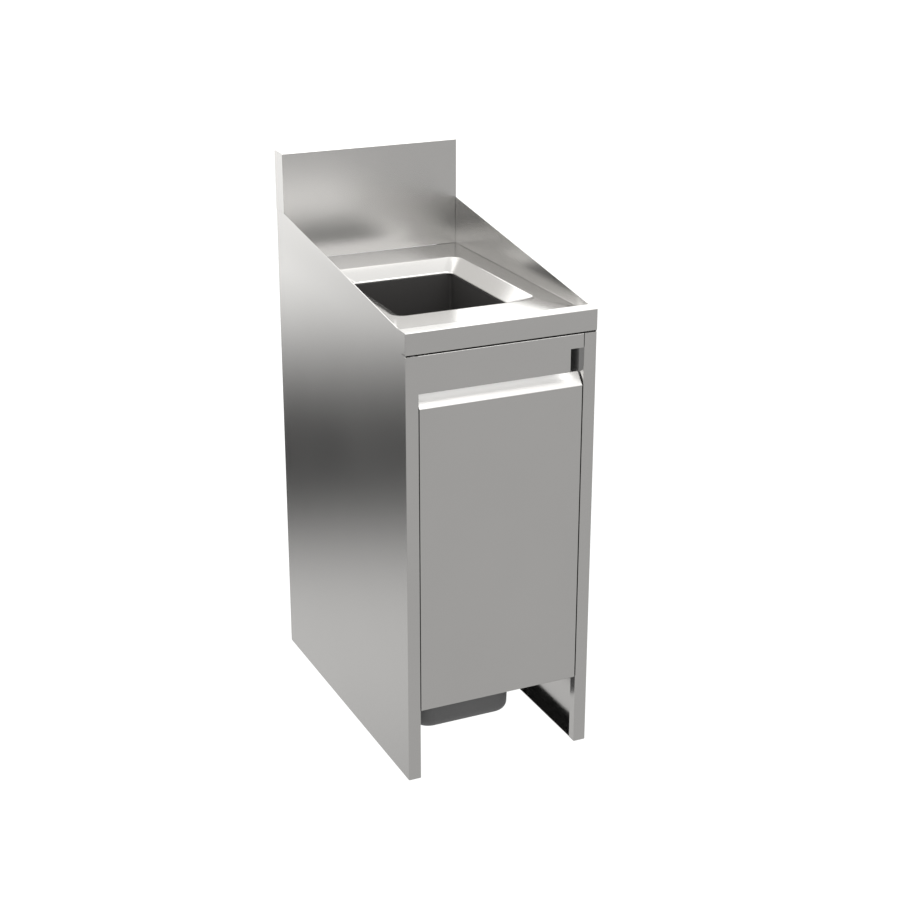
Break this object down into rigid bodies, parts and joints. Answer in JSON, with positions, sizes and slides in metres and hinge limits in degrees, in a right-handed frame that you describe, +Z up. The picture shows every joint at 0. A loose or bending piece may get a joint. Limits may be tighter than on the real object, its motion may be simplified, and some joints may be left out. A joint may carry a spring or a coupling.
{
  "type": "free-standing waste station cabinet",
  "caption": "Narrow free-standing steel waste station: sunk worktop with a drop opening, wings and backsplash, and a pull-out front carrying a lift-out bin below.",
  "frame": {"origin": "on the floor, in the middle of the footprint", "axes": "+Z up, +X to the right seen from the front, front towards -Y"},
  "size_m": [0.36, 0.62, 1.032],
  "materials": {
    "satin_steel": "satin, fine grain",
    "worktop_steel": "satin pressed sheet, soft bends",
    "galvanised_steel": "galvanised, faint spangle",
    "slide_zinc": "bright zinc plate",
    "zinc_screws": "bright zinc plate",
    "bin_plastic": "fine matt moulded grain"
  },
  "bodies": {
    "cabinet": {"backsplash": "satin_steel", "backsplash_rear_cover": "satin_steel", "cover_screw_1": "zinc_screws", "cover_screw_2": "zinc_screws", "cover_screw_3": "zinc_screws", "cover_screw_4": "zinc_screws", "front_rail": "satin_steel", "front_stretcher": "galvanised_steel", "left_deck_stiffener": "galvanised_steel", "left_side_panel": "satin_steel", "left_slide_bracket": "galvanised_steel", "left_slide_outer": "slide_zinc", "left_slide_screw_1": "zinc_screws", "left_slide_screw_2": "zinc_screws", "rear_panel": "galvanised_steel", "rear_screw_1": "zinc_screws", "rear_screw_2": "zinc_screws", "rear_screw_3": "zinc_screws", "rear_screw_4": "zinc_screws", "rear_stretcher": "galvanised_steel", "right_deck_stiffener": "galvanised_steel", "right_side_panel": "satin_steel", "right_slide_bracket": "galvanised_steel", "right_slide_outer": "slide_zinc", "right_slide_screw_1": "zinc_screws", "right_slide_screw_2": "zinc_screws", "worktop": "worktop_steel"},
    "slide_middles": {"left_slide_middle": "slide_zinc", "right_slide_middle": "slide_zinc"},
    "drawer": {"bin_ring": "galvanised_steel", "door_front": "satin_steel", "door_liner": "satin_steel", "left_arm_screw_1": "zinc_screws", "left_arm_screw_2": "zinc_screws", "left_carrier_arm": "galvanised_steel", "left_ring_screw_1": "zinc_screws", "left_ring_screw_2": "zinc_screws", "left_slide_inner": "slide_zinc", "right_arm_screw_1": "zinc_screws", "right_arm_screw_2": "zinc_screws", "right_carrier_arm": "galvanised_steel", "right_ring_screw_1": "zinc_screws", "right_ring_screw_2": "zinc_screws", "right_slide_inner": "slide_zinc"},
    "bin": {"bin": "bin_plastic"}
  },
  "joints": [
    {"name": "drawer_slide", "type": "slide", "parent": "cabinet", "child": "drawer", "axis": [0, -1, 0], "range_m": [0, 0.5]},
    {"name": "middle_slide", "type": "slide", "parent": "cabinet", "child": "slide_middles", "axis": [0, -1, 0], "range_m": [0, 0.25]},
    {"name": "bin_lift", "type": "slide", "parent": "drawer", "child": "bin", "axis": [0, 0, 1], "range_m": [0, 0.11]}
  ],
  "couplings": [
    {"joint": "middle_slide", "follows": "drawer_slide", "ratio": 0.5}
  ]
}
